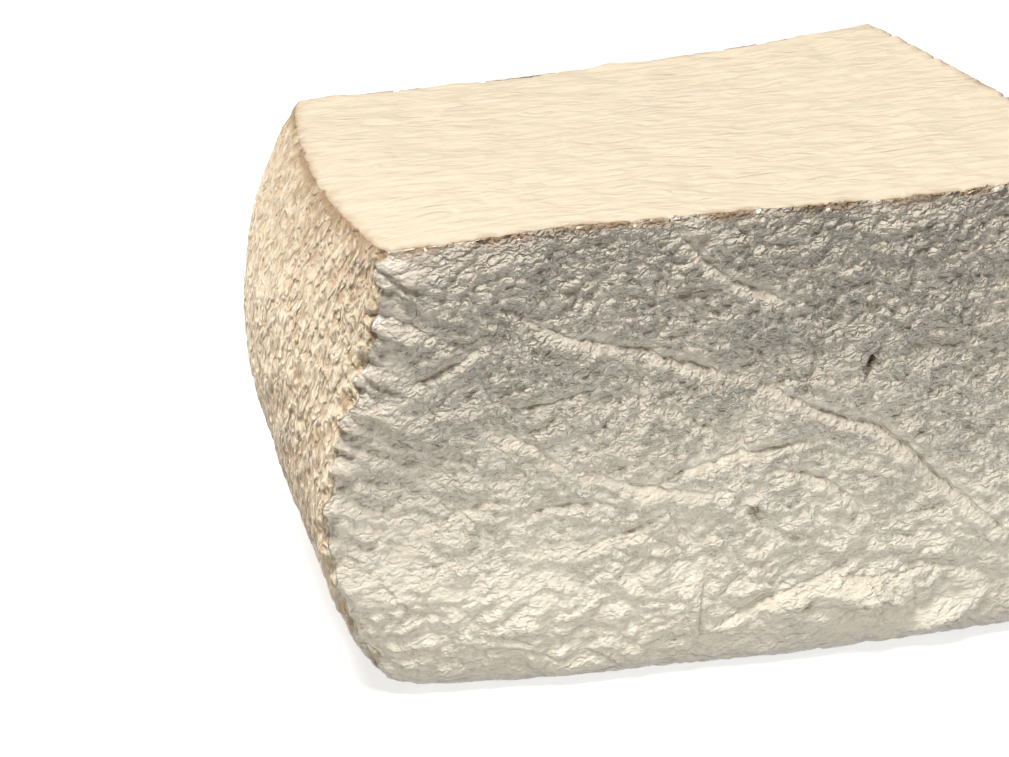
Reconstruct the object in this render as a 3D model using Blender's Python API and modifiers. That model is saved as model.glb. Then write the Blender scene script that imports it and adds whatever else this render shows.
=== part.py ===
"""One block of pressed firm tofu, standing on its base.

The block is a six-sided slab whose top was cut flat and whose four walls were
pressed in cloth: the walls swell, the left one most, and the foot is rounder
than the top.  A coarse cage is cut from a cube, each cage point is put in
place by the wall functions below, and a Subdivision Surface makes the form.

Axes: +X along the long front, left to right; +Y from front to back; +Z up.
The origin is at the middle of the base.  Units are metres.
"""

import math

import bmesh
import bpy
from mathutils import Matrix, Vector

# The cut top, and the height at its front left corner
TOP_LENGTH = 0.0960
DEPTH = 0.0908
HEIGHT = 0.0588

# The top isn't level: it rises to the right, most at the back right corner
TOP_RISE_RIGHT = 0.0033
TOP_RISE_BACK_RIGHT = 0.0025
TOP_BACK_SAG = 0.0016
TOP_FRONT_WAVE = 0.0009
TOP_FRONT_LEFT_DROP = 0.0008

# Left wall: a barrel, widest a little above half height
LEFT_SWELL = 0.0116
LEFT_SWELL_SKEW = 1.45
LEFT_EDGE_BOW = 0.0021
LEFT_FOOT = 0.0004
LEFT_BACK_INSET = 0.0008
LEFT_BACK_FLAT = 0.0016

# Where it meets the front wall it leans out lower down, and the cut top starts further in
FRONT_EDGE_SWELL = 0.0102
FRONT_EDGE_SKEW = 0.64
FRONT_EDGE_POWER = 2.0
FRONT_EDGE_INSET = 0.0019
FRONT_EDGE_REACH = 7.0

# The top's back left corner is worn round
LEFT_BACK_CORNER = 0.0022
BACK_LEFT_CORNER = 0.0020

# Front wall: bowed along its length, and its foot stands out
FRONT_BOW = 0.0026
FRONT_FOOT = 0.0013

# Right and back walls swell less
RIGHT_SWELL = 0.0038
RIGHT_BOW = 0.0022
BACK_SWELL = 0.0028
SWELL_SKEW = 0.70

# How square the block is: a higher power gives a sharper edge
UPRIGHT_EDGE_POWER_TOP = 60.0
UPRIGHT_EDGE_POWER_FOOT = 18.0
TOP_EDGE_POWER = 90.0
FOOT_EDGE_POWER = 18.0

# Creases hold the knife's edges crisp: the top's rim, and the uprights near it
TOP_RIM_CREASE = 0.65
UPRIGHT_CREASE = 0.70

# Where the cage is cut, from -1 at one face to 1 at the opposite one
CUTS_X = (-0.94, -0.80, -0.30, 0.30, 0.80, 0.94)
CUTS_Y = (-0.94, -0.78, -0.50, 0.00, 0.78, 0.94)
CUTS_Z = (-0.88, -0.40, 0.10, 0.56, 0.95)

SUBDIVISIONS = 2
TOFU_COLOUR = (0.86, 0.78, 0.62, 1.0)
TOFU_ROUGHNESS = 0.62


def clear_scene():
    for obj in list(bpy.data.objects):
        bpy.data.objects.remove(obj, do_unlink=True)


def make_material():
    material = bpy.data.materials.new("tofu")
    material.use_nodes = True
    shader = material.node_tree.nodes["Principled BSDF"]
    shader.inputs["Base Color"].default_value = TOFU_COLOUR
    shader.inputs["Roughness"].default_value = TOFU_ROUGHNESS
    shader.inputs["Metallic"].default_value = 0.0
    return material


def bow(share):
    """0 at both ends of an edge and 1 at its middle."""
    return 1.0 - (2.0 * share - 1.0) ** 2


def hump(share, skew):
    """0 at both ends of a wall, 1 at the height that the skew sets."""
    return math.sin(math.pi * share ** skew)


def mix(low, high, share):
    return low + (high - low) * share


def squircle_scale(first, second, power):
    """The factor that draws a point of a square in to a squircle of this power."""
    reach = max(abs(first), abs(second))
    if reach == 0.0:
        return 1.0
    length = (abs(first) ** power + abs(second) ** power) ** (1.0 / power)
    return reach / length


def round_edges(point):
    """Round the cube's upright edges, then its top and foot edges; the base stays flat."""
    up = 0.5 + 0.5 * point.z
    upright_power = mix(UPRIGHT_EDGE_POWER_FOOT, UPRIGHT_EDGE_POWER_TOP, up)
    reach = max(abs(point.x), abs(point.y))
    plan = squircle_scale(point.x, point.y, upright_power)
    rim_power = TOP_EDGE_POWER if point.z > 0.0 else FOOT_EDGE_POWER
    side = squircle_scale(reach, point.z, rim_power)
    on_base = point.z == -1.0 and reach < 1.0
    height = -1.0 if on_base else point.z * side
    return Vector((point.x * plan * side, point.y * plan * side, height))


def left_wall(back, up):
    barrel = LEFT_SWELL * (0.5 + 0.5 * bow(back)) - LEFT_BACK_FLAT * back
    barrel *= hump(up, LEFT_SWELL_SKEW)
    lean = FRONT_EDGE_SWELL * abs(hump(up, FRONT_EDGE_SKEW)) ** FRONT_EDGE_POWER
    lean -= FRONT_EDGE_INSET * up
    outward = mix(barrel, lean, (1.0 - back) ** FRONT_EDGE_REACH)
    outward += LEFT_EDGE_BOW * bow(back)
    outward += LEFT_FOOT * (1.0 - up)
    outward -= LEFT_BACK_INSET * back * up
    outward -= LEFT_BACK_CORNER * back ** 8 * up ** 6
    return -outward


def right_wall(back, up):
    return TOP_LENGTH + RIGHT_SWELL * hump(up, SWELL_SKEW) + RIGHT_BOW * bow(back)


def front_wall(along, up):
    return -FRONT_BOW * bow(along) - FRONT_FOOT * (1.0 - up)


def back_wall(along, up):
    return DEPTH + BACK_SWELL * hump(up, SWELL_SKEW) - BACK_LEFT_CORNER * (1.0 - along) ** 8 * up ** 6


def top_face(along, back):
    height = HEIGHT + TOP_RISE_RIGHT * along
    height += TOP_RISE_BACK_RIGHT * along * back ** 2
    height -= TOP_BACK_SAG * bow(along) * back
    height += TOP_FRONT_WAVE * math.sin(math.tau * along) * (1.0 - back)
    height -= TOP_FRONT_LEFT_DROP * (1.0 - along) ** 8 * (1.0 - back) ** 8
    return height


def tofu_point(point):
    """Carry a point of the cube from -1 to 1 onto the block."""
    rounded = round_edges(point)
    along = 0.5 + 0.5 * rounded.x
    back = 0.5 + 0.5 * rounded.y
    up = 0.5 + 0.5 * rounded.z
    x = mix(left_wall(back, up), right_wall(back, up), along)
    y = mix(front_wall(along, up), back_wall(along, up), back)
    z = top_face(along, back) * up
    return Vector((x, y, z))


def cut_loops(cage, axis, cuts):
    """Cut the cube right round at each station along one axis."""
    normal = Vector((0.0, 0.0, 0.0))
    normal[axis] = 1.0
    for station in cuts:
        geometry = cage.verts[:] + cage.edges[:] + cage.faces[:]
        bmesh.ops.bisect_plane(cage, geom=geometry, dist=1e-5, plane_co=normal * station, plane_no=normal)


def crease_edges(cage):
    """Crease the cube's top rim fully and its upright edges more towards the top."""
    creases = cage.edges.layers.float.new("crease_edge")
    for edge in cage.edges:
        middle = (edge.verts[0].co + edge.verts[1].co) / 2.0
        sides_met = sum(abs(abs(value) - 1.0) < 1e-5 for value in middle)
        if sides_met < 2:
            continue
        if middle.z > 0.9999:
            edge[creases] = TOP_RIM_CREASE
        elif middle.z > -0.9999:
            edge[creases] = UPRIGHT_CREASE * (0.5 + 0.5 * middle.z)


def make_cage():
    cage = bmesh.new()
    bmesh.ops.create_cube(cage, size=2.0)
    for axis, cuts in enumerate((CUTS_X, CUTS_Y, CUTS_Z)):
        cut_loops(cage, axis, cuts)
    crease_edges(cage)
    for vertex in cage.verts:
        vertex.co = tofu_point(vertex.co)
    mesh = bpy.data.meshes.new("tofu_block")
    cage.to_mesh(mesh)
    cage.free()
    mesh.shade_smooth()
    return mesh


def stand_on_origin(block):
    """Put the middle of the finished block's base at the origin."""
    finished = block.evaluated_get(bpy.context.evaluated_depsgraph_get())
    points = [vertex.co.copy() for vertex in finished.to_mesh().vertices]
    finished.to_mesh_clear()
    low = Vector([min(point[axis] for point in points) for axis in range(3)])
    high = Vector([max(point[axis] for point in points) for axis in range(3)])
    middle = (low + high) / 2.0
    block.data.transform(Matrix.Translation((-middle.x, -middle.y, -low.z)))


def make_block():
    block = bpy.data.objects.new("tofu_block", make_cage())
    block.data.materials.append(make_material())
    parts = bpy.data.collections.new("tofu block")
    bpy.context.scene.collection.children.link(parts)
    parts.objects.link(block)
    smooth = block.modifiers.new("form", 'SUBSURF')
    smooth.levels = SUBDIVISIONS
    smooth.render_levels = SUBDIVISIONS
    stand_on_origin(block)


clear_scene()
make_block()
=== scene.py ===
import math

import bmesh
import bpy
import numpy as np
from mathutils import Matrix, Vector, noise
from mathutils.bvhtree import BVHTree


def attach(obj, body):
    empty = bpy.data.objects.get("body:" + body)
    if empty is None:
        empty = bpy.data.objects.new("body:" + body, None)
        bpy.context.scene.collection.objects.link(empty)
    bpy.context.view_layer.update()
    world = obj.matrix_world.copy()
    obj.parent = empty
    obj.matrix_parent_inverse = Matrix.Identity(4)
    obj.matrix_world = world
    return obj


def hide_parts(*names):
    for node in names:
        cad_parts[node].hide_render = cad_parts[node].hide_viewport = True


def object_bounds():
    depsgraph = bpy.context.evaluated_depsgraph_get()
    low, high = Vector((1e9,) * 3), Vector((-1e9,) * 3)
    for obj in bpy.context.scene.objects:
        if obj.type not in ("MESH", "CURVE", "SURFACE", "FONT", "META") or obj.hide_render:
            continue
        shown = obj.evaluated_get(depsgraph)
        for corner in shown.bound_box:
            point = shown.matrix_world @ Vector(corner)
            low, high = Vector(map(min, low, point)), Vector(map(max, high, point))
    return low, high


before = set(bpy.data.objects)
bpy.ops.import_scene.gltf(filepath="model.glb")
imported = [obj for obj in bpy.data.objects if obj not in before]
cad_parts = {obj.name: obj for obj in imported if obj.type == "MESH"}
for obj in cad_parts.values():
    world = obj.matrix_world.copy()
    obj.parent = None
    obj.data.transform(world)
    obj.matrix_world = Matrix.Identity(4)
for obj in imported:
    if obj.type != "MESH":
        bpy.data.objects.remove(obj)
cadLow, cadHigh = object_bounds()
cadSize = cadHigh - cadLow
mm = 0.001


# how the block was looked at: degrees, metres, and shares of the block's box
cameraSettings = {
    "lens": 85.0,
    "sensorWidth": 36.0,
    "turn": 11.52,
    "tilt": 18.56,
    "roll": -1.49,
    "distance": 0.2853,
    "clipStart": 0.01,
    "aimAcross": 0.2326,
    "aimUp": 0.6576,
}


def addCamera(settings):
    turn = math.radians(settings["turn"])
    tilt = math.radians(settings["tilt"])
    aim = Vector((
        cadLow.x + cadSize.x * settings["aimAcross"],
        cadLow.y,
        cadSize.z * settings["aimUp"],
    ))
    turned = Matrix.Rotation(-turn, 4, 'Z') @ Matrix.Rotation(math.pi / 2 - tilt, 4, 'X')
    turned = turned @ Matrix.Rotation(math.radians(settings["roll"]), 4, 'Z')
    back = turned @ Vector((0, 0, settings["distance"]))
    data = bpy.data.cameras.new("camera")
    data.lens = settings["lens"]
    data.sensor_width = settings["sensorWidth"]
    data.clip_start = settings["clipStart"]
    camera = bpy.data.objects.new("camera", data)
    camera.matrix_world = Matrix.Translation(aim + back) @ turned
    bpy.context.scene.collection.objects.link(camera)
    bpy.context.scene.camera = camera
    print("camera in place")


# the fine skin: its cells along x, y and z, how much closer they lie at the edges, how its walls
# are fitted to the block, and how many triangles stay
skinSettings = {
    "mergeGap": 0.000001,
    "formLevels": 2,
    "cells": (300, 180, 170),
    "crowding": 0.7,
    "wallFacing": 0.9,  # a wall's points face its way at least this squarely
    "wallOrder": 8,
    "settle": 6,
    "smoothing": 1,
    "smoothShare": 0.5,
    "flatBase": 0.9,  # share of the base, from its middle out, that is one face
    "triangles": 195000,
}


def readVectors(data, field, count):
    values = np.empty(count * 3)
    data.foreach_get(field, values)
    return values.reshape(-1, 3)


def smoothForm(node, settings):
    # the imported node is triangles, so a copy is merged, made quads again and subdivided
    bm = bmesh.new()
    bm.from_mesh(node.data)
    bmesh.ops.remove_doubles(bm, verts=bm.verts, dist=settings["mergeGap"])
    anyAngle = {"angle_face_threshold": math.pi, "angle_shape_threshold": math.pi}
    bmesh.ops.join_triangles(bm, faces=bm.faces, **anyAngle)
    mesh = bpy.data.meshes.new("form")
    bm.to_mesh(mesh)
    bm.free()
    form = bpy.data.objects.new("form", mesh)
    bpy.context.scene.collection.objects.link(form)
    smooth = form.modifiers.new("smooth", 'SUBSURF')
    smooth.levels = settings["formLevels"]
    smooth.render_levels = settings["formLevels"]
    graph = bpy.context.evaluated_depsgraph_get()
    finished = bpy.data.meshes.new_from_object(form.evaluated_get(graph))
    bpy.data.objects.remove(form)
    count = len(finished.vertices)
    points = readVectors(finished.vertices, "co", count)
    normals = readVectors(finished.vertices, "normal", count)
    bm = bmesh.new()
    bm.from_mesh(finished)
    tree = BVHTree.FromBMesh(bm)
    bm.free()
    return tree, points, normals


def gridCube(cells):
    # a cube from -1 to 1 whose edges are cut into cells
    bm = bmesh.new()
    bmesh.ops.create_cube(bm, size=2.0)
    for axis in range(3):
        edges = [e for e in bm.edges if abs(e.verts[0].co[axis] - e.verts[1].co[axis]) > 1.0]
        bmesh.ops.subdivide_edges(bm, edges=edges, cuts=cells[axis] - 1, use_grid_fill=True)
    return bm


def powers(first, second, order):
    pairs = [(i, j) for i in range(order + 1) for j in range(order + 1 - i)]
    return np.stack([first ** i * second ** j for i, j in pairs], axis=1)


def fitWall(points, normals, axis, side, settings):
    # one wall as a polynomial of its two other coordinates, reaching past the rounded edges
    others = [k for k in range(3) if k != axis]
    order = settings["wallOrder"]
    scaledPoints = points / np.array(cadSize)
    facing = normals[:, axis] * side > settings["wallFacing"]
    basis = powers(scaledPoints[facing, others[0]], scaledPoints[facing, others[1]], order)
    weights = np.linalg.lstsq(basis, points[facing, axis], rcond=None)[0]

    def wall(at):
        inside = at / np.array(cadSize)
        return powers(inside[:, others[0]], inside[:, others[1]], order) @ weights
    return wall


def mix(low, high, share):
    return low + (high - low) * share


def smoothStep(values, low, high):
    share = np.clip((values - low) / (high - low), 0.0, 1.0)
    return share * share * (3.0 - 2.0 * share)


# relief that the skin carries: lengths in millimetres, sizes along x, y and z, turns in degrees;
# a pair of shares holds at the foot and near the rim
reliefSettings = {
    # curd of the long walls
    "grainRise": 12.0,  # how far the grain climbs to the right
    "sag": 0.7,  # how far raised curd hangs down, as a share of its height
    "sagRange": (0.5, 4.0),  # how far below the rim that starts, and where it is full
    "coarseBelow": 16.0, "fineAbove": 50.0,
    "bend": (2.2, 0.0, 1.8), "bendSize": (6.0, 6.0, 6.0),
    "pillowHeight": 0.6, "pillowSize": (14.0, 10.0, 8.0),
    "lumpHeight": 0.19, "lumpSize": (3.8, 3.0, 2.4), "lumpShares": (1.1, 1.0),
    "curdHeight": 0.15, "curdSize": (1.5, 1.4, 0.95), "curdShares": (1.0, 1.2), "calmCurd": 0.6,
    "flakeHeight": 0.26, "flakeSize": (0.85, 0.8, 0.58), "flakeShares": (0.6, 1.5), "calmFlake": 0.4,
    # painted shade in the dips between the curds
    "hollowRange": (0.4, 2.0), "hollowFlake": 2.0, "hollowShade": 0.25,
    # wrinkles along the grain and across it
    "wrinkleDepth": 0.22, "wrinkleShares": (1.0, 0.7), "wrinkleLine": 0.45, "wrinkleFall": -24.0,
    "wrinkleSize": (9.0, 8.0, 2.8), "wrinkleSharpness": 0.13,
    "wrinkleSpacing": 1.3, "wrinkleRange": (0.0, 0.3),
    "wrinkleBend": 2.0, "wrinkleBendSize": (7.0, 7.0, 7.0),
    # smoother curd: how far it reaches from the upright edges, the foot, the cut and the creases
    "calmEdge": 12.0, "calmFoot": 10.0, "calmCrease": 0.9, "calmCreaseRange": (0.1, 0.7),
    "quietRim": 4.0, "quietFoot": 6.0, "quietShare": 0.45,
    # the two ends
    "sidePillowHeight": 0.35, "sidePillowSize": (9.0, 8.0, 9.0),
    "sideCurdHeight": 0.24, "sideCurdSize": (1.3, 1.6, 2.1), "sideCurdRange": (-0.3, 0.3),
    "sideGritHeight": 0.18, "sideGritSize": (0.8, 1.0, 1.2),
    "sideHollowRange": (0.1, 0.9), "sideQuietRim": 3.0, "sideQuietShare": 0.5,
    # the upright edges: knobs and plaits, weaker on the right and at the back
    "cornerWave": 2.2, "cornerReach": 4.0, "cornerBlend": 0.5, "edgeReach": 16.0,
    "knobHeight": 0.8, "knobSize": (3.2, 3.2, 2.4), "knobReach": 2.5,
    "plaitHeight": 0.5, "plaitSize": (8.0, 6.0, 1.9), "plaitTurn": -26.0, "plaitReach": 7.5,
    "plaitEndReach": 1.6, "plaitFoot": 0.35, "plaitRange": (8.0, 24.0),
    "farEdges": 0.25, "farRange": (0.3, 0.7),
    # the cut top and its chipped rim
    "swellHeight": 0.20, "swellSize": (22.0, 12.0, 20.0),
    "rippleHeight": 0.42, "rippleSize": (7.0, 2.6, 9.0),
    "rippleBend": 1.8, "rippleBendSize": (14.0, 9.0, 9.0),
    "smallRippleShare": 0.7, "smallRippleSize": (4.0, 1.6, 9.0), "rimWidth": 0.8,
    "chipDepth": 0.40, "chipSize": (1.5, 1.5, 1.5), "chipRange": (0.12, 0.5),
    "chipWidth": 1.1, "chipReach": 2.5, "chipFall": 0.8,
    "levelRange": (-3.0, -0.2),  # the walls are pushed level this near to the rim and the foot
    "wallBorder": 2.5,  # and the relief fades out this far past them
    # the tan fringe of the cut, and streaks under it on the ends, partly browned curd and partly
    # painted glow of light that comes through the edge
    "fringeDrop": 0.2, "fringeWidth": 0.75, "fringeSize": (4.0, 4.0, 4.0), "fringeRange": (-0.7, 0.0),
    "streakReach": 6.5, "streakTop": 0.3, "streakSize": (0.8, 0.8, 1.7), "streakRange": (-0.15, 0.35),
    "streakShares": (0.65, 1.6), "streakFade": 0.35,
}

# where each noise starts, so that no two patterns match
seeds = {
    "pillows": 0.0, "bend": 3.3, "lumps": 7.1, "curds": 11.7, "flakes": 17.3,
    "rising": 19.0, "falling": 23.0, "wrinkleBend": 2.1, "wrinkleStrength": 5.7,
    "wobble": 21.0, "smallWobble": 22.0,
    "sidePillows": 50.0, "sideCurds": 55.3, "sideGrit": 59.1,
    "rippleBend": 31.0, "swell": 33.0, "ripples": 37.0, "smallRipples": 41.0,
    "chips": 61.0, "fringe": 71.0, "streaks": 75.0, "knobs": 81.0, "cornerWave": 83.0, "plaits": 87.0,
}

# pressed creases of the front wall: points in millimetres from its lower left corner, and depth
creases = [
    ([(13, 40), (19, 43), (25, 46)], 0.4),
    ([(10.5, 51), (16, 48.5), (22, 45.5)], 0.35),
    ([(28, 49), (36, 45.5), (44, 43), (51, 40.5), (58, 38)], 0.6),
    ([(58, 38), (67, 33.5), (75, 30), (83, 22.5), (93, 14)], 0.75),
    ([(47, 60), (53, 53), (63, 47.5)], 0.5),
    ([(46, 46.5), (44, 42), (43, 37), (40.5, 27)], 0.35),
    ([(34, 29), (41, 27), (48.5, 25), (54.5, 25)], 0.5),
    ([(45, 26.5), (52, 28.5), (59, 29.5), (68, 30)], 0.5),
    ([(35, 18), (40, 20), (47, 23)], 0.5),
    ([(46, 24), (48, 20), (51, 17)], 0.3),
    ([(57, 27), (63, 26), (69, 23), (74, 18)], 0.5),
    ([(57, 22), (60, 18.5), (66, 16)], 0.25),
    ([(51, 12), (50.5, 8), (51, 4)], 0.4),
    ([(53, 6.5), (58, 9), (65, 11), (73, 15)], 0.6),
    ([(26.5, 37.3), (32, 37.8), (37.5, 39)], 0.5),
    ([(23, 35.5), (30, 32), (34, 29)], 0.4),
    ([(29, 23.5), (35, 24.5), (40, 24)], 0.4),
    ([(67, 12.5), (73, 11), (81, 12), (89, 9)], 0.4),
    ([(57, 36), (56, 31), (55.5, 26)], 0.3),
    ([(44.5, 37), (50, 34), (55.5, 30)], 0.3),
    ([(14, 21.5), (21, 24.5), (28, 26)], 0.3),
    ([(14, 36.5), (19, 38), (24, 37.5)], 0.3),
]

# a crease's section in millimetres: the slope above the line, the ledge under it, the crest that
# tails off below, and the dark furrow; how far it all reaches, and how it tapers off at its ends
creaseSection = {
    "slope": 1.4, "ledge": 0.45, "crest": 2.2, "crestShare": 0.8,
    "furrow": 1.2, "furrowStrength": 1.6, "reach": 5.0, "taper": 0.45, "endShare": 0.02,
    "wobble": ((5.0, 0.5), (1.2, 0.2)),  # size and height of the waves in its line
}

# holes of the front wall: place in millimetres, half widths along and up, lean in degrees, depth
pits = [
    (72.8, 39.1, 0.55, 0.8, -28.0, 2.6),
    (73.5, 40.6, 1.1, 0.5, 12.0, 0.6),
    (57.9, 21.4, 1.0, 0.6, -35.0, 1.25),
    (64.8, 8.2, 0.45, 0.9, -30.0, 1.1),
    (88.8, 4.5, 0.8, 0.6, 20.0, 0.8),
    (49.3, 50.5, 1.3, 0.7, 10.0, 0.6),
]

# how deep a hole is where its painted shade starts, and where it is full
pitShadeRange = (0.25, 0.9)

# folds of the front wall near its foot, then broad hollows and swells, laid out as the holes are,
# with a height in place of the depth
folds = [
    (72.3, 9.2, 5.6, 2.0, -6.0, 1.8),
    (82.8, 4.2, 5.2, 1.3, 14.0, 1.3),
    (62.8, 8.5, 2.2, 1.8, 10.0, 0.8),
    (74.0, 5.4, 4.8, 0.9, 6.0, -1.4),
    (62.0, 43.0, 34.0, 9.0, 0.0, -0.4),
    (13.0, 24.5, 14.0, 10.0, 0.0, -1.4),
    (-6.0, 60.0, 24.0, 26.0, 0.0, 1.3),
]


def blobs(at, size, seed):
    # soft noise from -1 to 1, with blobs of the given size along each axis
    scaled = at / np.array(size) + seed
    return np.fromiter(map(noise.noise, scaled.tolist()), float, len(scaled))


def climbed(at, degrees):
    # coordinates turned about y, so that x runs along the grain
    turn = math.radians(degrees)
    along = at[:, 0] * math.cos(turn) + at[:, 2] * math.sin(turn)
    over = at[:, 2] * math.cos(turn) - at[:, 0] * math.sin(turn)
    return np.stack([along, at[:, 1], over], axis=1)


def smoothLine(points, steps=8):
    # a Catmull-Rom curve through the points
    knots = np.array([points[0]] + list(points) + [points[-1]], float)
    line = []
    for a, b, c, d in zip(knots, knots[1:], knots[2:], knots[3:]):
        for share in np.arange(steps) / steps:
            line.append(0.5 * (2 * b + (c - a) * share + (2 * a - 5 * b + 4 * c - d) * share ** 2
                               + (3 * b - a - 3 * c + d) * share ** 3))
    return np.array(line + [knots[-1]])


def pressedCrease(across, up, points, depth, section):
    # a gentle slope in from above, then a sharp ledge out that tails off below;
    # returns heights, how far above the line each point lies, and how strong the line is there
    line = smoothLine(points)
    start, step = line[:-1], np.diff(line, axis=0)
    place = np.stack([across, up], axis=1)
    near = np.full(len(place), np.inf)
    signed = np.zeros(len(place))
    run = np.zeros(len(place))
    for index, (origin, vector) in enumerate(zip(start, step)):
        share = np.clip((place - origin) @ vector / (vector @ vector), 0.0, 1.0)
        offset = place - origin - share[:, None] * vector
        distance = np.hypot(offset[:, 0], offset[:, 1])
        side = np.sign(vector[0] * offset[:, 1] - vector[1] * offset[:, 0])
        closer = distance < near
        near = np.where(closer, distance, near)
        signed = np.where(closer, distance * side, signed)
        run = np.where(closer, (index + share) / len(step), run)
    if line[-1, 0] < line[0, 0]:
        signed = -signed
    last = section["endShare"]
    fade = np.sin(np.pi * np.clip(run, last, 1.0 - last)) ** section["taper"]
    fade *= np.exp(-(near / section["reach"]) ** 4)
    rise = 1.0 - np.exp(-(signed / section["ledge"]) ** 2)
    above = -np.exp(-near / section["slope"])
    below = rise - 1.0 + section["crestShare"] * rise * np.exp(-near / section["crest"])
    strength = section["furrowStrength"] * depth * fade * np.exp(-(near / section["furrow"]) ** 2)
    return depth * fade * np.where(signed > 0.0, above, below), signed, strength


def spot(across, up, place):
    # 1 at the middle of a leaning oval, fading to 0 around it
    x, z, halfX, halfZ, lean, height = place
    turn = math.radians(lean)
    along = (across - x) * math.cos(turn) + (up - z) * math.sin(turn)
    over = (up - z) * math.cos(turn) - (across - x) * math.sin(turn)
    return np.exp(-((along / halfX) ** 2 + (over / halfZ) ** 2)) * height


def puffs(at, size, seed):
    # rounded lumps, from -1 to about 1, with sharp valleys between them
    usualHeight = 0.25
    return np.abs(blobs(at, size, seed)) / usualHeight - 1.0


def wrinkles(at, degrees, settings, seed):
    # short sharp furrows along the grain: how deep from 0 to 1, the distance from each furrow's
    # middle, and the furrow's strength
    size = settings["wrinkleSize"]
    bend = blobs(at, settings["wrinkleBendSize"], seed + seeds["wrinkleBend"]) * settings["wrinkleBend"]
    along = climbed(at, degrees) + bend[:, None] * np.array([0.0, 0.0, 1.0])
    value = blobs(along, size, seed)
    spacing = [settings["wrinkleSpacing"] * length for length in size]
    strength = blobs(along, spacing, seed + seeds["wrinkleStrength"])
    strength = smoothStep(strength, *settings["wrinkleRange"])
    deep = strength * np.exp(-(value / settings["wrinkleSharpness"]) ** 2)
    return deep, value * size[2], strength


def frontRelief(at, calm, settings):
    # heights, the painted shade of the curd's dips from 0 to 1, and the wrinkles' lines
    turned = climbed(at, settings["grainRise"])
    upper = smoothStep(at[:, 2], settings["coarseBelow"], settings["fineAbove"])
    warp = np.stack([blobs(at, settings["bendSize"], seeds["bend"] * k) for k in (1, 2, 3)], axis=1)
    bent = turned + warp * np.array(settings["bend"])
    lumps = puffs(bent, settings["lumpSize"], seeds["lumps"])
    curds = puffs(bent, settings["curdSize"], seeds["curds"])
    flakes = blobs(bent, settings["flakeSize"], seeds["flakes"])
    rise, fall = settings["grainRise"], settings["wrinkleFall"]
    rising, risingSide, risingLine = wrinkles(at, rise, settings, seeds["rising"])
    falling, fallingSide, fallingLine = wrinkles(at, fall, settings, seeds["falling"])
    height = settings["pillowHeight"] * blobs(turned, settings["pillowSize"], seeds["pillows"])
    height += settings["lumpHeight"] * lumps * mix(*settings["lumpShares"], upper)
    curdShare = mix(*settings["curdShares"], upper) * mix(1.0, settings["calmCurd"], calm)
    height += settings["curdHeight"] * curds * curdShare
    flakeShare = mix(*settings["flakeShares"], upper) * mix(1.0, settings["calmFlake"], calm)
    height += settings["flakeHeight"] * flakes * flakeShare
    wrinkleShare = mix(*settings["wrinkleShares"], upper)
    height -= settings["wrinkleDepth"] * np.maximum(rising, falling) * wrinkleShare
    # the dips between lumps, curds and flakes get painted shade
    dip = -lumps - curds - settings["hollowFlake"] * flakes
    paintedShade = smoothStep(dip, *settings["hollowRange"]) * settings["hollowShade"]
    lines = np.stack([risingSide, risingLine, fallingSide, fallingLine], axis=1)
    lines[:, 1::2] *= settings["wrinkleLine"]
    return height, paintedShade, lines


def frontMarks(at, section):
    # heights of the creases, holes and folds, the creases' lines, and how deep the holes are
    across, up = at[:, 0], at[:, 2]
    wobble = np.zeros(len(at))
    for (size, depth), name in zip(section["wobble"], ("wobble", "smallWobble")):
        wobble += blobs(at, (size, size, size), seeds[name]) * depth
    height = np.zeros(len(at))
    farAway = 9.0
    line = np.stack([np.full(len(at), farAway), np.zeros(len(at))], axis=1)
    for points, depth in creases:
        rise, side, strength = pressedCrease(across, up + wobble, points, depth, section)
        height += rise
        stronger = strength > line[:, 1]
        line[stronger] = np.stack([side, strength], axis=1)[stronger]
    hole = np.zeros(len(at))
    for pit in pits:
        hole += spot(across, up, pit)
    for fold in folds:
        height += spot(across, up + wobble, fold)
    return height - hole, line, hole


def sideRelief(at, settings):
    # heights, and the painted shade of an end's dips from 0 to 1
    curds = blobs(at, settings["sideCurdSize"], seeds["sideCurds"])
    curds = smoothStep(curds, *settings["sideCurdRange"]) - 0.5
    grit = blobs(at, settings["sideGritSize"], seeds["sideGrit"])
    height = settings["sidePillowHeight"] * blobs(at, settings["sidePillowSize"], seeds["sidePillows"])
    height += settings["sideCurdHeight"] * curds
    height += settings["sideGritHeight"] * grit
    return height, smoothStep(-curds - grit, *settings["sideHollowRange"])


def topRelief(at, settings):
    # soft ripples left by the knife
    bend = blobs(at, settings["rippleBendSize"], seeds["rippleBend"]) * settings["rippleBend"]
    bent = at + bend[:, None] * np.array([0.0, 1.0, 0.0])
    ripples = blobs(bent, settings["rippleSize"], seeds["ripples"])
    smallRipples = blobs(bent, settings["smallRippleSize"], seeds["smallRipples"])
    ripples += settings["smallRippleShare"] * smallRipples
    swell = blobs(at, settings["swellSize"], seeds["swell"])
    return settings["swellHeight"] * swell + settings["rippleHeight"] * ripples


def edgeRelief(at, share, pastCorner, settings):
    # knobs along the upright edges, and plaits that run down from them onto the long walls
    knobs = blobs(at, settings["knobSize"], seeds["knobs"])
    knobs *= np.exp(-(pastCorner / settings["knobReach"]) ** 2)
    reach = np.where(pastCorner < 0.0, settings["plaitReach"], settings["plaitEndReach"])
    plaits = puffs(climbed(at, settings["plaitTurn"]), settings["plaitSize"], seeds["plaits"])
    plaits *= np.exp(-(pastCorner / reach) ** 2)
    plaits *= mix(settings["plaitFoot"], 1.0, smoothStep(at[:, 2], *settings["plaitRange"]))
    far = smoothStep(np.maximum(share[:, 0], share[:, 1]), *settings["farRange"])
    height = settings["knobHeight"] * knobs + settings["plaitHeight"] * plaits
    return height * mix(1.0, settings["farEdges"], far)


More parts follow.
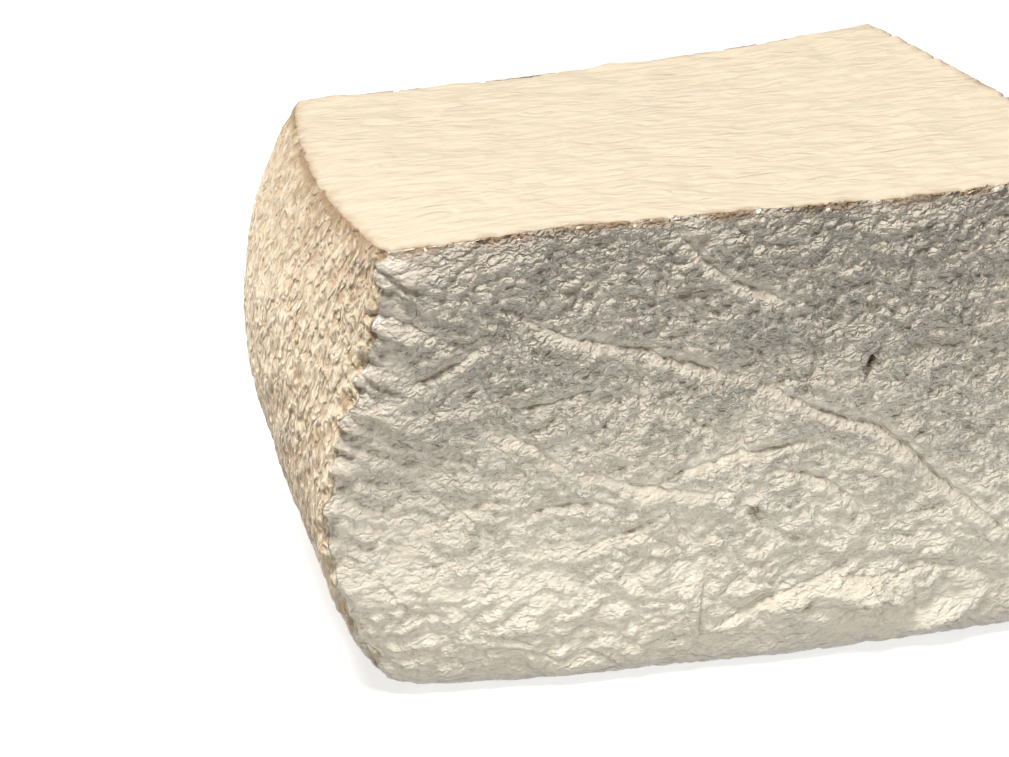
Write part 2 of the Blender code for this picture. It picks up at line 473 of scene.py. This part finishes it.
def rimChips(at, pastRim, directions, settings):
    # small chips of the knife's edge, in and down
    chips = smoothStep(blobs(at, settings["chipSize"], seeds["chips"]), *settings["chipRange"])
    chips *= np.exp(-(pastRim / settings["chipWidth"]) ** 2) * settings["chipDepth"]
    inward = -directions * np.array([1.0, 1.0, 0.0]) - np.array([0.0, 0.0, settings["chipFall"]])
    return inward * chips[:, None]


def tanFringeAndGlow(at, share, pastRim, ends, settings):
    # a tan band where the cut meets the walls, and in streaks under it on the ends, most towards the
    # front: partly browned curd, partly painted glow of light coming through the edge
    gaps = smoothStep(blobs(at, settings["fringeSize"], seeds["fringe"]), *settings["fringeRange"])
    fringe = np.exp(-((pastRim + settings["fringeDrop"]) / settings["fringeWidth"]) ** 2) * gaps
    under = ends * np.exp(-(np.minimum(pastRim, 0.0) / settings["streakReach"]) ** 2)
    under *= pastRim < settings["streakTop"]
    streaks = smoothStep(blobs(at, settings["streakSize"], seeds["streaks"]), *settings["streakRange"])
    streaks *= mix(*settings["streakShares"], np.exp(-share[:, 1] / settings["streakFade"]))
    return np.maximum(fringe, under * streaks)


def bordersOf(share):
    # how far each point lies, in millimetres, past the rim onto the top, past the foot's edge
    # onto the base, and past the nearest upright edge onto an end; negative on the walls before it
    nearFace = 0.0001
    inward = np.minimum(share, 1.0 - share) * np.array(cadSize) / mm
    ring = np.minimum(inward[:, 0], inward[:, 1])
    pastRim = np.where(share[:, 2] > 1.0 - nearFace, ring, (share[:, 2] - 1.0) * cadSize.z / mm)
    pastFoot = np.where(share[:, 2] < nearFace, ring, -share[:, 2] * cadSize.z / mm)
    pastCorner = np.where(inward[:, 0] < inward[:, 1], inward[:, 1], -inward[:, 0])
    return pastRim, pastFoot, pastCorner


def wallDirections(normals, share, pastRim, pastFoot, ends, levelRange):
    # straight out of the wall, and level near the rim and the foot, so both stay flat
    outward = np.zeros_like(normals)
    outward[:, 0] = np.sign(share[:, 0] - 0.5) * ends
    outward[:, 1] = np.sign(share[:, 1] - 0.5) * (1.0 - ends)
    level = np.maximum(smoothStep(pastRim, *levelRange), smoothStep(pastFoot, *levelRange))
    directions = mix(normals, outward, level[:, None])
    return directions / np.linalg.norm(directions, axis=1)[:, None]


def wallRelief(at, share, borders, ends, walls, settings):
    # heights, painted shade of the hollows, lines of the long walls and the ends, and how calm the curd
    # is
    pastRim, pastFoot, pastCorner = borders
    # the curd of the long walls is smoother next to the upright edges and near the foot,
    # and along the creases
    calm = np.exp(-(pastCorner / settings["calmEdge"]) ** 2)
    calm = np.maximum(calm, np.exp(-(at[:, 2] / settings["calmFoot"]) ** 2)) * (1.0 - ends)
    height = np.zeros(len(at))
    paintedShade = np.zeros(len(at))
    # side and strength of the rising, falling and pressed lines
    lines = np.zeros((len(at), 6))
    longWalls = (walls > 0.0) & (ends < 1.0)
    front = longWalls & (share[:, 1] < 0.5)
    height[front], lines[front, 4:], hole = frontMarks(at[front], creaseSection)
    # the holes get painted shade by their depth
    paintedShade[front] = smoothStep(hole, *pitShadeRange)
    pressed = smoothStep(lines[:, 5], *settings["calmCreaseRange"])
    calm = np.maximum(calm, settings["calmCrease"] * pressed)
    rise, dip, lines[longWalls, :4] = frontRelief(at[longWalls], calm[longWalls], settings)
    height[longWalls] += rise
    paintedShade[longWalls] += dip
    lines[:, 1::2] *= (walls * (1.0 - ends))[:, None]
    # it quietens next to the knife's cut and at the foot
    quiet = smoothStep(-pastRim, 0.0, settings["quietRim"])
    quiet *= smoothStep(-pastFoot, 0.0, settings["quietFoot"])
    height *= (1.0 - ends) * mix(settings["quietShare"], 1.0, quiet)
    paintedShade *= 1.0 - ends
    endWalls = (walls > 0.0) & (ends > 0.0)
    rise, dip = sideRelief(at[endWalls], settings)
    quiet = smoothStep(-pastRim[endWalls], 0.0, settings["sideQuietRim"])
    height[endWalls] += ends[endWalls] * rise * mix(settings["sideQuietShare"], 1.0, quiet)
    paintedShade[endWalls] += ends[endWalls] * dip
    edges = np.abs(pastCorner) < settings["edgeReach"]
    height[edges] += edgeRelief(at[edges], share[edges], pastCorner[edges], settings)
    return height, np.clip(paintedShade, 0.0, 1.0) * walls, lines, calm


def storeMasks(mesh, masks):
    for name, values in masks.items():
        layer = mesh.attributes.new(name, 'FLOAT', 'POINT')
        layer.data.foreach_set("value", values.astype(float))


def carveRelief(skin, settings):
    mesh = skin.data
    count = len(mesh.vertices)
    places = readVectors(mesh.vertices, "co", count)
    normals = readVectors(mesh.vertices, "normal", count)
    share = readVectors(mesh.attributes["share"].data, "vector", count)
    at = (places - np.array(cadLow)) / mm
    borders = bordersOf(share)
    pastRim, pastFoot, pastCorner = borders
    wave = blobs(at, settings["knobSize"], seeds["cornerWave"]) * settings["cornerWave"]
    wave *= np.abs(pastCorner) < settings["cornerReach"]
    ends = smoothStep(pastCorner + wave, -settings["cornerBlend"], settings["cornerBlend"])
    border = settings["wallBorder"]
    walls = smoothStep(-pastRim, -border, 0.0) * smoothStep(-pastFoot, -border, 0.0)
    height, paintedShade, lines, calm = wallRelief(at, share, borders, ends, walls, settings)
    directions = wallDirections(normals, share, pastRim, pastFoot, ends, settings["levelRange"])
    places += directions * (height * walls * mm)[:, None]
    hanging = (1.0 - ends) * smoothStep(-pastRim, *settings["sagRange"]) * walls
    places[:, 2] -= settings["sag"] * height * hanging * mm
    top = pastRim > 0.0
    ripples = topRelief(at[top], settings) * smoothStep(pastRim[top], 0.0, settings["rimWidth"])
    places[top, 2] += ripples * mm
    rim = np.abs(pastRim) < settings["chipReach"]
    places[rim] += rimChips(at[rim], pastRim[rim], directions[rim], settings) * mm
    places[:, 2] = np.maximum(places[:, 2], 0.0)
    mesh.vertices.foreach_set("co", places.ravel())
    mesh.attributes.remove(mesh.attributes["share"])
    masks = {"cutFace": top, "endFace": ends, "calm": calm, "paintedShade": paintedShade}
    masks["fringe"] = tanFringeAndGlow(at, share, pastRim, ends, settings)
    for column, name in enumerate(("rising", "falling", "pressed")):
        masks[name + "Side"] = lines[:, 2 * column]
        masks[name + "Depth"] = lines[:, 2 * column + 1]
    storeMasks(mesh, masks)
    mesh.update()
    print("relief carved")


def countTriangles(mesh):
    return sum(len(face.vertices) - 2 for face in mesh.polygons)


def thinOut(skin, triangles):
    # flat places give up their triangles first
    present = countTriangles(skin.data)
    thinning = skin.modifiers.new("thin out", 'DECIMATE')
    thinning.ratio = triangles / present
    graph = bpy.context.evaluated_depsgraph_get()
    thinned = bpy.data.meshes.new_from_object(skin.evaluated_get(graph))
    thinned.name = "tofu_skin"
    skin.modifiers.clear()
    skin.data = thinned
    print("skin thinned out:", present, "to", countTriangles(thinned), "triangles")


def shapeSkin(settings):
    tree, points, normals = smoothForm(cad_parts["tofu_block"], settings)
    walls = {}
    for axis, side in ((0, -1), (0, 1), (1, -1), (1, 1), (2, 1)):
        walls[axis, side] = fitWall(points, normals, axis, side, settings)
    bm = gridCube(settings["cells"])
    cube = np.array([v.co for v in bm.verts])
    # each point's share of the way through the block along x, y and z, then its place on the walls
    crowd = settings["crowding"]
    share = 0.5 + 0.5 * np.sin(cube * crowd) / math.sin(crowd)
    at = np.array(cadLow) + share * np.array(cadSize)
    for _ in range(settings["settle"]):
        across = mix(walls[0, -1](at), walls[0, 1](at), share[:, 0])
        along = mix(walls[1, -1](at), walls[1, 1](at), share[:, 1])
        up = walls[2, 1](at) * share[:, 2]
        at = np.stack([across, along, up], axis=1)
    layer = bm.verts.layers.float_vector.new("share")
    for vertex, place, part in zip(bm.verts, at, share):
        vertex.co = tree.find_nearest(Vector(place))[0]
        vertex[layer] = part
    allAxes = {"use_axis_x": True, "use_axis_y": True, "use_axis_z": True}
    for _ in range(settings["smoothing"]):
        bmesh.ops.smooth_vert(bm, verts=bm.verts, factor=settings["smoothShare"], **allAxes)
    # the flat of the base is one face
    inner = settings["flatBase"]
    almost = 0.999
    onBase = (cube[:, 2] < -almost) & (np.abs(cube[:, 0]) < inner) & (np.abs(cube[:, 1]) < inner)
    bm.verts.ensure_lookup_table()
    for index in np.flatnonzero(onBase):
        bm.verts[index].co.z = 0.0
    flat = [f for f in bm.faces if all(onBase[v.index] for v in f.verts)]
    bmesh.ops.dissolve_faces(bm, faces=flat)
    bm.normal_update()
    mesh = bpy.data.meshes.new("tofu_skin")
    bm.to_mesh(mesh)
    bm.free()
    skin = bpy.data.objects.new("tofu_skin", mesh)
    bpy.context.scene.collection.objects.link(skin)
    print("skin laid on the block:", len(mesh.vertices), "points")
    return skin


# the curd's colours, painted shade and glow, and grain: lengths and bump heights in millimetres,
# scatter in metres
tofuSettings = {
    "cream": (0.90, 0.79, 0.675), "pale": (0.92, 0.825, 0.715),
    "cutCream": (0.905, 0.768, 0.604),
    # the ends' foot colour is painted shade, greyer towards the foot
    "endCream": (0.955, 0.803, 0.595), "endFootShade": (0.84, 0.75, 0.62), "endShadeHeight": 26.0,
    "shade": (0.48, 0.385, 0.27), "shadeShare": 0.95,
    # a reddish brown for painted shade in the ends' hollows, and for their specks, which are partly the
    # curd's own mottling
    "speckAndShadeBrown": (0.60, 0.38, 0.21), "endShadeShare": 0.55,
    # the dark pit colour is painted shade in the deepest holes
    "pit": (0.15, 0.10, 0.05), "pitShadeFrom": 0.75,
    # the tan fringe is partly browned curd, partly painted glow of light coming through the cut's edge
    "tanAndGlow": (0.42, 0.26, 0.14), "fringeShare": 0.95,
    "scatter": 0.0005, "scatterColour": (1.0, 0.50, 0.25), "scatterShare": 0.15,
    "roughness": 0.34, "dryRoughness": 0.5, "wet": 0.9, "wetRoughness": 0.23, "refraction": 1.4,
    "flake": {"scale": 1.0, "detail": 1.5, "roughness": 0.6, "distortion": 0.4},
    "rims": (0.25, 0.75),
    "grit": {"scale": 2.9, "detail": 1.0, "roughness": 0.6}, "gritShare": 0.18,
    "furrowWidth": 0.38, "furrowBump": 0.36, "furrowShade": 0.24,
    "wallGrain": (1.0, 1.0, 0.66), "wallTurn": 12.0, "wallBump": 1.1,
    "lowBump": 0.28, "smoothBelow": 8.0, "roughAbove": 48.0, "calmBump": 0.28,
    "endGrain": (1.0, 1.25, 2.1), "endBump": 0.78,
    "topGrain": (5.0, 2.0, 3.0), "topBump": 0.42,
    "patch": {"scale": 160.0, "detail": 2.0},
    "patchRange": (0.38, 0.62), "patchBumps": (0.7, 1.25),
    "specks": 0.85, "speckRange": (0.5, 0.2), "speckPatches": (0.35, 0.6), "fewestSpecks": 0.5,
    "faceBorder": (0.45, 0.55),
}


def addNode(tree, kind, **values):
    node = tree.nodes.new(kind)
    for name, value in values.items():
        setattr(node, name, value)
    return node


def attribute(tree, name):
    return addNode(tree, 'ShaderNodeAttribute', attribute_name=name).outputs["Fac"]


def noiseField(tree, vector, scale, detail, roughness=0.5, distortion=0.0):
    node = addNode(tree, 'ShaderNodeTexNoise')
    node.inputs["Scale"].default_value = scale
    node.inputs["Detail"].default_value = detail
    node.inputs["Roughness"].default_value = roughness
    node.inputs["Distortion"].default_value = distortion
    tree.links.new(vector, node.inputs["Vector"])
    return node.outputs["Fac"]


def ranged(tree, value, start, end, low=0.0, high=1.0, curve='SMOOTHSTEP'):
    # low where the value is at its start, high where it is at its end
    node = addNode(tree, 'ShaderNodeMapRange', interpolation_type=curve)
    for name, limit in (("From Min", start), ("From Max", end), ("To Min", low), ("To Max", high)):
        node.inputs[name].default_value = limit
    tree.links.new(value, node.inputs["Value"])
    return node.outputs["Result"]


def shrunk(tree, vector, size):
    # coordinates counted in grains of the given size
    node = addNode(tree, 'ShaderNodeVectorMath', operation='DIVIDE')
    node.inputs[1].default_value = [length * mm for length in size]
    tree.links.new(vector, node.inputs[0])
    return node.outputs[0]


def mixed(tree, kind, share, first, second):
    # each end is a fixed value or another node's output, and a fixed colour has three numbers
    node = addNode(tree, 'ShaderNodeMix', data_type=kind)
    tree.links.new(share, node.inputs["Factor"])
    for name, value in (("A", first), ("B", second)):
        if isinstance(value, bpy.types.NodeSocket):
            tree.links.new(value, node.inputs[name])
        elif kind == 'RGBA':
            node.inputs[name].default_value = (*value, 1)
        else:
            node.inputs[name].default_value = value
    return node.outputs["Result"]


def scaled(tree, value, factor):
    node = addNode(tree, 'ShaderNodeMath', operation='MULTIPLY')
    tree.links.new(value, node.inputs[0])
    if isinstance(factor, bpy.types.NodeSocket):
        tree.links.new(factor, node.inputs[1])
    else:
        node.inputs[1].default_value = factor
    return node.outputs[0]


def joined(tree, operation, first, second):
    node = addNode(tree, 'ShaderNodeMath', operation=operation)
    tree.links.new(first, node.inputs[0])
    tree.links.new(second, node.inputs[1])
    return node.outputs[0]


def makeGrainGroup(settings):
    # height of flaky curd, 0 to 1: flat flakes with steep rims, and finer grit on them
    tree = bpy.data.node_groups.new("curdGrain", 'ShaderNodeTree')
    tree.interface.new_socket("Vector", in_out='INPUT', socket_type='NodeSocketVector')
    tree.interface.new_socket("Height", in_out='OUTPUT', socket_type='NodeSocketFloat')
    vector = addNode(tree, 'NodeGroupInput').outputs["Vector"]
    leave = addNode(tree, 'NodeGroupOutput')
    flakes = ranged(tree, noiseField(tree, vector, **settings["flake"]), *settings["rims"])
    grit = noiseField(tree, vector, **settings["grit"])
    blend = addNode(tree, 'ShaderNodeMix', data_type='FLOAT')
    blend.inputs["Factor"].default_value = settings["gritShare"]
    tree.links.new(flakes, blend.inputs["A"])
    tree.links.new(grit, blend.inputs["B"])
    tree.links.new(blend.outputs["Result"], leave.inputs["Height"])
    return tree


def makeFurrowGroup(settings):
    # a narrow furrow: its depth on its line, 0 away from it
    tree = bpy.data.node_groups.new("furrow", 'ShaderNodeTree')
    tree.interface.new_socket("Side", in_out='INPUT', socket_type='NodeSocketFloat')
    tree.interface.new_socket("Depth", in_out='INPUT', socket_type='NodeSocketFloat')
    tree.interface.new_socket("Hollow", in_out='OUTPUT', socket_type='NodeSocketFloat')
    entry = addNode(tree, 'NodeGroupInput')
    leave = addNode(tree, 'NodeGroupOutput')
    distance = addNode(tree, 'ShaderNodeMath', operation='ABSOLUTE')
    tree.links.new(entry.outputs["Side"], distance.inputs[0])
    profile = ranged(tree, distance.outputs[0], 0.0, settings["furrowWidth"], low=1.0, high=0.0)
    tree.links.new(scaled(tree, profile, entry.outputs["Depth"]), leave.inputs["Hollow"])
    return tree


def furrowsOf(tree, settings):
    # the deepest of the three kinds of line on the long walls
    group = makeFurrowGroup(settings)
    hollows = []
    for name in ("rising", "falling", "pressed"):
        furrow = addNode(tree, 'ShaderNodeGroup', node_tree=group)
        tree.links.new(attribute(tree, name + "Side"), furrow.inputs["Side"])
        tree.links.new(attribute(tree, name + "Depth"), furrow.inputs["Depth"])
        hollows.append(furrow.outputs["Hollow"])
    rising, falling, pressed = hollows
    return joined(tree, 'MAXIMUM', joined(tree, 'MAXIMUM', rising, falling), pressed)


def grainOf(tree, settings, place, cut, end):
    # the long walls, the ends and the cut top each have their own grain size
    turned = addNode(tree, 'ShaderNodeMapping')
    turned.inputs["Rotation"].default_value = (0, math.radians(settings["wallTurn"]), 0)
    tree.links.new(place, turned.inputs["Vector"])
    wallPlace = shrunk(tree, turned.outputs[0], settings["wallGrain"])
    endPlace = shrunk(tree, place, settings["endGrain"])
    topPlace = shrunk(tree, place, settings["topGrain"])
    sidePlace = mixed(tree, 'VECTOR', end, wallPlace, endPlace)
    grain = addNode(tree, 'ShaderNodeGroup', node_tree=makeGrainGroup(settings))
    tree.links.new(mixed(tree, 'VECTOR', cut, sidePlace, topPlace), grain.inputs["Vector"])
    return grain.outputs["Height"]


def bumpHeightOf(tree, settings, height, patches, cut, end):
    # how high the grain stands: least on calm curd and low down, and more on some patches
    low, high = settings["smoothBelow"] * mm, settings["roughAbove"] * mm
    climb = ranged(tree, height, low, high, settings["lowBump"], settings["wallBump"])
    size = mixed(tree, 'FLOAT', attribute(tree, "calm"), climb, settings["calmBump"])
    size = mixed(tree, 'FLOAT', end, size, settings["endBump"])
    size = mixed(tree, 'FLOAT', cut, size, settings["topBump"])
    patchy = ranged(tree, patches, *settings["patchRange"], *settings["patchBumps"])
    return scaled(tree, patchy, size)


def speckMask(tree, settings, grain, patches, cut, end):
    # brown specks on the ends, partly the curd's own mottling and partly painted shade, lie in the
    # grain's hollows, and in some patches more than in others
    specks = ranged(tree, grain, *settings["speckRange"], high=settings["specks"])
    speckled = ranged(tree, patches, *settings["speckPatches"], low=settings["fewestSpecks"])
    return scaled(tree, specks, scaled(tree, speckled, joined(tree, 'SUBTRACT', end, cut)))


def curdColour(tree, settings, height, grain, patches, furrows, cut, end):
    colour = mixed(tree, 'RGBA', patches, settings["cream"], settings["pale"])
    # painted shade: the ends are greyer towards the foot
    footShade = ranged(tree, height, settings["endShadeHeight"] * mm, 0.0)
    endColour = mixed(tree, 'RGBA', footShade, settings["endCream"], settings["endFootShade"])
    colour = mixed(tree, 'RGBA', end, colour, endColour)
    colour = mixed(tree, 'RGBA', cut, colour, settings["cutCream"])
    # hollows get painted shade: darker on the long walls, and a reddish brown on the ends for the light
    # that comes through the grains
    paintedShade = attribute(tree, "paintedShade")
    deep = mixed(tree, 'RGBA', end, settings["shade"], settings["speckAndShadeBrown"])
    share = mixed(tree, 'FLOAT', end, settings["shadeShare"], settings["endShadeShare"])
    colour = mixed(tree, 'RGBA', scaled(tree, paintedShade, share), colour, deep)
    specks = speckMask(tree, settings, grain, patches, cut, end)
    colour = mixed(tree, 'RGBA', specks, colour, settings["speckAndShadeBrown"])
    # the deepest holes of the long walls get a dark painted shade
    pits = joined(tree, 'SUBTRACT', ranged(tree, paintedShade, settings["pitShadeFrom"], 1.0), end)
    colour = mixed(tree, 'RGBA', pits, colour, settings["pit"])
    furrowed = scaled(tree, furrows, settings["furrowShade"])
    colour = mixed(tree, 'RGBA', furrowed, colour, settings["shade"])
    # the tan fringe, partly browned curd and partly painted glow of light through the edge
    fringe = scaled(tree, attribute(tree, "fringe"), settings["fringeShare"])
    return mixed(tree, 'RGBA', fringe, colour, settings["tanAndGlow"])


def tofuMaterial(settings):
    material = bpy.data.materials.new("tofuCurd")
    material.use_nodes = True
    tree = material.node_tree
    link = tree.links.new
    shader = tree.nodes["Principled BSDF"]
    shader.inputs["Subsurface Weight"].default_value = settings["scatterShare"]
    shader.inputs["Subsurface Radius"].default_value = settings["scatterColour"]
    shader.inputs["Subsurface Scale"].default_value = settings["scatter"]
    shader.inputs["IOR"].default_value = settings["refraction"]
    shader.inputs["Coat Roughness"].default_value = settings["wetRoughness"]
    place = addNode(tree, 'ShaderNodeTexCoord').outputs["Object"]
    axes = addNode(tree, 'ShaderNodeSeparateXYZ')
    link(place, axes.inputs[0])
    height = axes.outputs["Z"]
    # the face masks with narrow borders; only the long walls are wet
    cut = ranged(tree, attribute(tree, "cutFace"), *settings["faceBorder"], curve='LINEAR')
    end = ranged(tree, attribute(tree, "endFace"), *settings["faceBorder"], curve='LINEAR')
    dry = joined(tree, 'MAXIMUM', cut, end)
    roughness = mixed(tree, 'FLOAT', dry, settings["roughness"], settings["dryRoughness"])
    link(roughness, shader.inputs["Roughness"])
    link(mixed(tree, 'FLOAT', dry, settings["wet"], 0.0), shader.inputs["Coat Weight"])
    patches = noiseField(tree, place, **settings["patch"])
    grain = grainOf(tree, settings, place, cut, end)
    furrows = furrowsOf(tree, settings)
    raised = scaled(tree, grain, bumpHeightOf(tree, settings, height, patches, cut, end))
    bump = addNode(tree, 'ShaderNodeBump')
    bump.inputs["Strength"].default_value = 1.0
    bump.inputs["Distance"].default_value = mm
    sunk = scaled(tree, furrows, settings["furrowBump"])
    link(joined(tree, 'SUBTRACT', raised, sunk), bump.inputs["Height"])
    link(bump.outputs["Normal"], shader.inputs["Normal"])
    colour = curdColour(tree, settings, height, grain, patches, furrows, cut, end)
    link(colour, shader.inputs["Base Color"])
    return material


# the pale floor: metres, and the light it gives off itself
floorSettings = {
    "halfWidth": 6.0,
    "colour": (0.62, 0.62, 0.62),
    "roughness": 0.7,
    "glow": 0.66,
}


def addFloor(settings):
    bm = bmesh.new()
    bmesh.ops.create_grid(bm, x_segments=1, y_segments=1, size=settings["halfWidth"])
    mesh = bpy.data.meshes.new("floor")
    bm.to_mesh(mesh)
    bm.free()
    floor = bpy.data.objects.new("floor", mesh)
    bpy.context.scene.collection.objects.link(floor)
    material = bpy.data.materials.new("paleFloor")
    material.use_nodes = True
    shader = material.node_tree.nodes["Principled BSDF"]
    shader.inputs["Base Color"].default_value = (*settings["colour"], 1)
    shader.inputs["Roughness"].default_value = settings["roughness"]
    shader.inputs["Emission Color"].default_value = (1, 1, 1, 1)
    shader.inputs["Emission Strength"].default_value = settings["glow"]
    mesh.materials.append(material)
    floor.visible_diffuse = False  # so only the lamps light the walls


# studio light: each lamp's place in metres from the block's middle on the floor, its size,
# watts and colour; the key hangs over the left front, the rim stands behind on the left, the
# fill on the right, and the foot lamps lie low in front
lightSettings = {
    "room": 0.14,
    "roomColour": (1.0, 0.92, 0.87),
    "lamps": [
        ("key", (-0.22, -0.25, 0.91), (0.25, 0.25), 8.9, (0.99, 1.0, 0.95)),
        ("rim", (-0.66, 0.66, 0.09), (0.14, 0.14), 3.6, (1.0, 0.95, 0.86)),
        ("fill", (0.66, 0.45, 0.03), (0.14, 0.14), 5.0, (1.0, 0.97, 0.92)),
        ("foot", (0.010, -0.086, 0.010), (0.15, 0.012), 0.0144, (0.925, 0.995, 0.93)),
        ("corner", (-0.03, -0.075, 0.008), (0.08, 0.012), 0.0027, (0.97, 0.995, 0.87)),
    ],
}


def addLights(settings):
    world = bpy.data.worlds.new("room")
    world.use_nodes = True
    sky = world.node_tree.nodes["Background"]
    sky.inputs["Color"].default_value = (*settings["roomColour"], 1)
    sky.inputs["Strength"].default_value = settings["room"]
    bpy.context.scene.world = world
    for name, place, (width, height), watts, colour in settings["lamps"]:
        data = bpy.data.lights.new(name, 'AREA')
        data.energy = watts
        data.shape = 'RECTANGLE'
        data.size = width
        data.size_y = height
        data.color = colour
        lamp = bpy.data.objects.new(name, data)
        lamp.location = place
        aim = Vector((0, 0, cadSize.z / 2)) - lamp.location
        lamp.rotation_euler = aim.to_track_quat('-Z', 'Y').to_euler()
        lamp.visible_camera = False
        bpy.context.scene.collection.objects.link(lamp)
    print("lights set")


addCamera(cameraSettings)
skin = shapeSkin(skinSettings)
carveRelief(skin, reliefSettings)
thinOut(skin, skinSettings["triangles"])
skin.data.materials.append(tofuMaterial(tofuSettings))
skin.data.shade_smooth()
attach(skin, "root")
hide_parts("tofu_block")
addFloor(floorSettings)
addLights(lightSettings)
bpy.context.scene.view_settings.view_transform = 'Standard'
